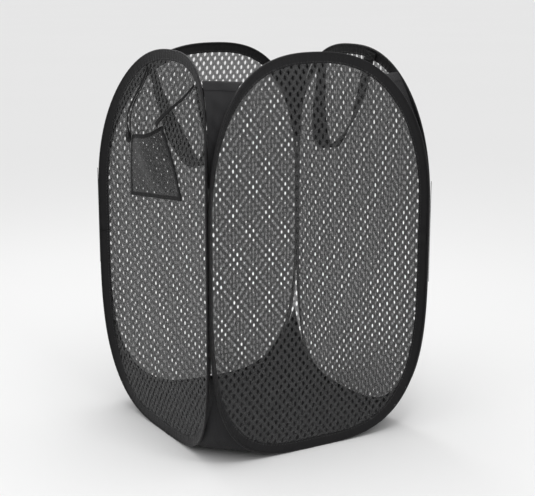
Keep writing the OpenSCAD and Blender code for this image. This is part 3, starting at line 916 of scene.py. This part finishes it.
class Strap:
    """The loop of webbing that hangs inside one hoop, in its panel's own frame."""

    def __init__(self, k, ends, sway, drop):
        s = settings().handle
        self.hoop, self.ends = Hoop(k), ends
        a, b = self.hang(ends[0]), self.hang(ends[1])
        n = 150
        t = np.linspace(0, 1, n + 1)
        ctrl = (a, a + (sway[0], 3 * MM, -drop / 0.75), b + (sway[1], 3 * MM, -drop / 0.75), b)
        p = curve(ctrl, t)
        way = unit(curve(ctrl, np.clip(t + 0.01, 0, 1)) - curve(ctrl, np.clip(t - 0.01, 0, 1)))
        inward = np.array([0.0, 1.0, 0.0])
        level = unit(np.cross(way, inward))
        self.line = unit(b - a)
        share = np.clip(np.minimum(t, 1 - t) * 28 / 3, 0, 1)[:, None]
        side = np.sign(level @ self.line)[:, None]
        across = self.line * side * (1 - share) + level * share
        twist = (pi / 2 * np.sin(pi * t) ** 2)[:, None]
        self.wide = across * np.cos(twist) + inward * np.sin(twist)
        self.flat = unit(np.cross(way, self.wide))
        self.mid = p + inward * np.sin(twist) * (s.width / 2 - 2 * MM)

    def hang(self, x):
        hoop, s = self.hoop, settings().handle
        q = abs(x) / hoop.in_w
        m = hoop.h.top_square
        z = hoop.top_z + (hoop.h.top_h - hoop.t.width) * (1 - q ** m) ** (1 / m)
        return np.array([x, hoop.lean * (1 - q * q) + s.gap, z - 2 * MM])


def webbing_ring():
    """Outline of the webbing: rounded edges, a rim and a shallow middle."""
    s = settings().handle
    w, t = s.width / 2, s.thick / 2
    half = [(w, 0), (w - 0.25 * MM, 0.7 * t), (w - 0.9 * MM, t), (w - 2 * MM, 0.95 * t),
            (w - 3 * MM, 0.8 * t), (0.4 * w, 0.88 * t)]
    top = half + [(-x, y) for x, y in reversed(half[1:])]
    return np.array(top + [(-w, 0)] + [(x, -y) for x, y in reversed(top[1:])])


class HAMPER_OT_handles(bpy.types.Operator):
    """Two webbing handles and their sewn ends"""
    bl_idname = "hamper.handles"
    bl_label = "Handles"

    def execute(self, context):
        s, t = settings().handle, settings().tape
        ring = webbing_ring()
        round_it = np.concatenate([[0], np.cumsum(np.linalg.norm(np.diff(ring, axis=0), axis=1))])
        round_it = np.append(round_it, round_it[-1] + 0.5 * MM)
        loops = (("left", 3, (-60 * MM, 100 * MM), (60 * MM, 25 * MM), 124 * MM),
                 ("right", 1, (80 * MM, -50 * MM), (15 * MM, 40 * MM), 136 * MM))
        for name, k, ends, sway, drop in loops:
            strap = Strap(k, ends, sway, drop)
            hoop = strap.hoop
            step = np.linalg.norm(np.diff(strap.mid, axis=0), axis=1)
            run = np.concatenate([[0], np.cumsum(step)])
            soft = 0.5 * MM * np.sin(run * 62)[:, None] + 0.3 * MM * np.sin(run * 171)[:, None]
            mid = strap.mid + strap.flat * soft
            points = mid[:, None] + strap.wide[:, None] * ring[:, :1] + strap.flat[:, None] * ring[:, 1:]
            shape = Shape()
            shape.grid(turned(points, k), run, round_it, loop=(False, True), caps=True)
            shape.make(f"{name}_webbing", finish(flat_webbing), f"{name}_handle", [f"{name}_handle"],
                       "webbing", 40)
            tabs, thread = Shape(), Shape()
            for x in ends:
                m = hoop.h.top_square
                f = (1 - (abs(x) / hoop.in_w) ** m) ** (1 / m)
                a0 = atan2(f, x / hoop.in_w)
                speed = np.linalg.norm(hoop.inner(a0 + 0.01) - hoop.inner(a0 - 0.01)) / 0.02
                span = np.linspace(-1, 1, 15) * s.width / 2
                a = a0 + span / speed
                off = t.leg + t.pucker + 0.35 * MM + s.thick / 2
                rows = [hoop.on_tape(a, np.full(15, d), np.full(15, off)) for d in
                        np.linspace(4.6 * MM, t.width - 0.5 * MM, 8)]
                hung = strap.hang(x) - np.sign(strap.line[0]) * strap.line * span[:, None]
                rows += [rows[7] + (hung - rows[7]) * g + np.array([0, 0.8 * MM, 0]) * sin(pi * g)
                         for g in (0.35, 0.7, 1.0)]
                patch = np.stack(rows)
                normal = np.broadcast_to(hoop.axes(a0)[2], patch.shape)
                tabs.sheet(turned(patch, k), turned_way(normal, k), s.thick, np.linspace(0, 17 * MM, 11),
                           np.linspace(0, s.width, 15))
                face = patch[:8] + normal[:8] * (s.thick / 2 + 0.08 * MM)
                box = [face[1, 1:14], face[1:7, 13], face[6, 13:0:-1], face[6:0:-1, 1],
                       np.stack([face[1, 1], face[6, 13]]), np.stack([face[1, 13], face[6, 1]])]
                for line in box:
                    nrm = np.broadcast_to(hoop.axes(a0)[2], line.shape)
                    sewn(thread, turned(line, k), turned_way(nrm, k), (2 * MM, 0.5 * MM), 2.8 * MM)
            tabs.make(f"{name}_webbing_ends", finish(flat_webbing), f"{name}_panel",
                      [f"{name}_handle_tabs"], "webbing", 40)
            thread.make(f"{name}_box_stitches", finish(sewing_thread), f"{name}_panel", slot="thread")
        return {"FINISHED"}


class Pouch:
    """The pocket's surface on the left panel: u across from its rear edge, v up from its bottom."""
    low = np.array([(-84, 352), (85, 368)]) * MM
    high = np.array([(-82, 440), (14, 465)]) * MM
    width, tall = 130 * MM, 95 * MM

    def __init__(self):
        self.hoop, self.depth = Hoop(3), settings().pocket.depth

    def at(self, u, v):
        u, v = np.broadcast_arrays(np.asarray(u, float), np.asarray(v, float))
        w = v[..., None]
        low = self.low[0] + (self.low[1] - self.low[0]) * u[..., None]
        high = self.high[0] + (self.high[1] - self.high[0]) * u[..., None]
        p = low * (1 - w) + high * w
        x = p[..., 0] + 9 * MM * u * v * (1 - v) * 4
        z = p[..., 1] + 2.5 * MM * v * np.sin(2 * pi * u) - 5 * MM * v ** 3 * np.sin(pi * u)
        slack = 1.3 * MM * np.sin(11 * u + 5 * v) * np.sin(pi * u) * np.sin(pi * v)
        out = 1.5 * MM + self.depth * np.sin(pi * u) * np.sin(pi / 2 * v) + slack
        return np.stack([x, self.hoop.net_in(z) - out, z], -1)

    def trim(self, shape, u, v, wide):
        """A folded binding along a line of the pouch."""
        line = self.at(u, v)
        way = unit(np.gradient(line, axis=0))
        out = np.array([0.0, -1.0, 0.0])
        across = unit(np.cross(way, out))
        out = unit(np.cross(across, way))
        t = 0.85 * MM
        ring = np.array([(0.5, 0), (0.44, 0.8), (0.3, 1), (0.12, 0.75), (-0.3, 1), (-0.46, 0.9), (-0.5, 0),
                         (-0.46, -0.9), (-0.3, -1), (0.12, -0.75), (0.3, -1), (0.44, -0.8)])
        run = np.concatenate([[0], np.cumsum(np.linalg.norm(np.diff(line, axis=0), axis=1))])
        wave = 1 + 0.16 * np.sin(run * 410)[:, None, None]
        p = line[:, None] + across[:, None] * ring[:, :1] * wide + out[:, None] * ring[:, 1:] * t * wave
        shape.grid(turned(p, 3), run, np.linspace(0, 2 * wide, 13), loop=(False, True), caps=True)


def tie(shape, points, wide, thick, curl=0.0):
    """A narrow tie along a curve, rolled up at its far end where curl says so."""
    t = np.linspace(0, 1, 70)
    line = curve(np.array(points) * MM, t)
    if curl:
        turn = np.linspace(0, 2.6 * pi, 40)[1:]
        size = curl * (1 - 0.5 * turn / turn[-1])
        end = line[-1]
        roll = np.stack([end[0] + size * np.sin(turn), end[1] - 1.2 * MM * turn / pi,
                         end[2] - curl + size * np.cos(turn)], -1)
        line = np.concatenate([line, roll])
    way = unit(np.gradient(line, axis=0))
    across = unit(np.cross(way, np.array([0.0, -1.0, 0.0])))
    out = unit(np.cross(across, way))
    ring = np.array([(0.5, 0), (0.42, 0.8), (0.15, 1), (-0.15, 1), (-0.42, 0.8), (-0.5, 0),
                     (-0.42, -0.8), (-0.15, -1), (0.15, -1), (0.42, -0.8)])
    run = np.concatenate([[0], np.cumsum(np.linalg.norm(np.diff(line, axis=0), axis=1))])
    wide = np.interp(np.linspace(0, 1, len(line)), (0, 0.5, 1), wide)[:, None, None]
    p = line[:, None] + across[:, None] * ring[:, :1] * wide + out[:, None] * ring[:, 1:] * thick / 2
    shape.grid(turned(p, 3), run, np.linspace(0, 9 * MM, 11), loop=(False, True), caps=True)


class HAMPER_OT_pocket(bpy.types.Operator):
    """Net pocket outside the left panel, its bindings and its two ties"""
    bl_idname = "hamper.pocket"
    bl_label = "Pocket"

    def execute(self, context):
        s = settings().pocket
        pouch = Pouch()
        w, h = pouch.width, pouch.tall
        weave = Net(6.6 * MM, 3.9 * MM, 2.0 * MM, 3.2 * MM)

        def lay(x, z, off):
            p = pouch.at(np.clip(x / w, 0.004, 0.996), np.clip(z / h, 0.004, 0.996))
            return turned(p + np.stack([0 * x, off - 0.3 * MM * (off == 0), 0 * x], -1), 3)

        net = Shape()
        weave.build(net, (0, 0), (w, h), lambda x, z: (x > 0) & (x < w) & (z > 0) & (z < h), lay, 0.8 * MM)
        yarn = finish(net_yarn, tuple(s.net_colour), "pocket_yarn", s.light, s.thin, s.dense)
        piece = net.make("pocket_netting", yarn, "left_panel", ["pocket_net"], "net", 80)
        trim = finish(ribbed_trim)
        mouth, edge, rear, front = Shape(), Shape(), Shape(), Shape()
        n = np.linspace(0.0, 1, 60)
        inset = 0.5 * s.trim / w
        pouch.trim(mouth, n, 1 - 0.5 * s.trim / h + 0 * n, s.trim)
        pouch.trim(edge, inset + 0 * n, n * 0.97, s.trim)
        pouch.trim(edge, 1 - inset + 0 * n, n * 0.97, s.trim)
        pouch.trim(edge, n, 0.4 * s.trim / h + 0 * n, s.trim)
        tie(rear, [(-62, 19, 543), (-58, 8, 505), (-104, -6, 480), (-80, -4.5, 446)],
            (4 * MM, 4 * MM, 8 * MM), 1.3 * MM, 7 * MM)
        tie(rear, [(-56, 19, 541), (-50, 6, 505), (-86, -4, 490), (-66, -8, 446)],
            (2.4 * MM, 2.4 * MM, 2.4 * MM), 1.1 * MM)
        tie(front, [(98, 13.5, 527), (70, 5, 497), (40, -2, 490), (13, -4.4, 466)],
            (3.4 * MM, 5 * MM, 8.5 * MM), 1.5 * MM)
        more = [mouth.make("pocket_mouth_trim", trim, "left_panel", ["pocket_mouth_binding"], "pocket_trim"),
                edge.make("pocket_edge_trim", trim, "left_panel", ["pocket_side_bindings"], "pocket_trim")]
        rear.make("pocket_rear_tie", trim, "left_panel", ["pocket_rear_strap"], "pocket_trim")
        front.make("pocket_front_tie", trim, "left_panel", ["pocket_front_strap"], "pocket_trim")
        widths = (pouch.low[1] - pouch.low[0])[0], (pouch.high[1] - pouch.high[0])[0]
        sum(widths) / 2 * h * weave.yarn_share
        return {"FINISHED"}


class HAMPER_OT_carried(bpy.types.Operator):
    """Finishes on the wires, their ferrules and the seam cords"""
    bl_idname = "hamper.carried"
    bl_label = "Wires and cords"

    def execute(self, context):
        for name, piece in frame["nodes"].items():
            if piece.hide_render:
                continue
            make = drawn_steel if name.endswith(("_wire", "_ferrule")) else plain_thread
            piece.data.materials.clear()
            piece.data.materials.append(finish(make))
        return {"FINISHED"}


class HAMPER_OT_stage(bpy.types.Operator):
    """Floor, lights and camera"""
    bl_idname = "hamper.stage"
    bl_label = "Stage"

    def execute(self, context):
        s = settings().stage
        scene = context.scene
        bpy.ops.object.select_all(action="DESELECT")
        bpy.ops.mesh.primitive_circle_add(vertices=96, radius=90, fill_type="NGON", location=(0, 0, 0))
        floor = context.object
        floor.name = "floor"
        floor.data.materials.append(finish(studio_floor))
        floor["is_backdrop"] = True
        world = bpy.data.worlds.new("studio")
        world.use_nodes = True
        world.node_tree.nodes["Background"].inputs[0].default_value = (1, 1, 1, 1)
        world.node_tree.nodes["Background"].inputs[1].default_value = s.world
        scene.world = world
        scene.view_settings.view_transform = "Standard"
        sun = bpy.data.lights.new("sky", "SUN")
        sun.energy, sun.angle = s.sky, radians(100)
        overhead = bpy.data.objects.new("sky", sun)
        scene.collection.objects.link(overhead)
        overhead.rotation_euler = (radians(12), radians(-14), 0)
        ahead = np.array([sin(s.azimuth), cos(s.azimuth), 0])
        right = np.array([cos(s.azimuth), -sin(s.azimuth), 0])
        lamps = (("key", 0.25 * right - 0.62 * ahead, 0.98, 0.22, 2.2, 0.56),
                 ("back", 0.7 * ahead - 0.3 * right, 1.5, 0.8, 5, 0.45))
        for name, at, up, size, power, aim in lamps:
            lamp = bpy.data.lights.new(name, "AREA")
            lamp.size, lamp.energy = size, power
            place = bpy.data.objects.new(name, lamp)
            scene.collection.objects.link(place)
            place.location = (at[0], at[1], up)
            place.rotation_euler = (Vector((0, 0, aim)) - place.location).to_track_quat("-Z", "Y").to_euler()
        camera = bpy.data.cameras.new("camera")
        camera.lens, camera.sensor_width = s.lens, 36
        camera.clip_start, camera.clip_end = 0.05, 300
        eye = bpy.data.objects.new("camera", camera)
        scene.collection.objects.link(eye)
        spot = right * s.aside - ahead * s.distance
        eye.location = (spot[0], spot[1], s.camera_z)
        look = Vector((*(ahead[:2] * cos(s.pitch)), -sin(s.pitch)))
        eye.rotation_euler = look.to_track_quat("-Z", "Y").to_euler()
        scene.camera = eye
        return {"FINISHED"}


class HAMPER_PT_panel(bpy.types.Panel):
    bl_label = "Hamper"
    bl_idname = "HAMPER_PT_panel"
    bl_space_type = "VIEW_3D"
    bl_region_type = "UI"
    bl_category = "Hamper"

    def draw(self, context):
        for operator in OPERATORS:
            self.layout.operator(operator.bl_idname)
        for group in ("hoop", "tape", "net", "handle", "pocket", "stage"):
            box = self.layout.box()
            box.label(text=group.capitalize())
            part = getattr(context.scene.hamper, group)
            for name in part.bl_rna.properties.keys():
                if name not in ("rna_type", "name"):
                    box.prop(part, name)


GROUPS = (HoopSettings, TapeSettings, NetSettings, HandleSettings, PocketSettings, StageSettings,
          HamperSettings)
OPERATORS = (HAMPER_OT_stage, HAMPER_OT_bindings, HAMPER_OT_nets, HAMPER_OT_base, HAMPER_OT_gussets,
             HAMPER_OT_handles, HAMPER_OT_pocket, HAMPER_OT_carried)
CLASSES = (*GROUPS, *OPERATORS, HAMPER_PT_panel)


def register():
    for cls in CLASSES:
        bpy.utils.register_class(cls)
    bpy.types.Scene.hamper = PointerProperty(type=HamperSettings)


def unregister():
    del bpy.types.Scene.hamper
    for cls in reversed(CLASSES):
        bpy.utils.unregister_class(cls)


def main():
    register()
    bpy.ops.hamper.stage()
    bpy.ops.hamper.bindings()
    bpy.ops.hamper.nets()
    bpy.ops.hamper.base()
    bpy.ops.hamper.gussets()
    bpy.ops.hamper.handles()
    bpy.ops.hamper.pocket()
    bpy.ops.hamper.carried()
    boxes = {"cad": CAD_BOX, "visual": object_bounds()}
    {name: [list(corner) for corner in box] for name, box in boxes.items()}


if __name__ == "__main__":
    main()
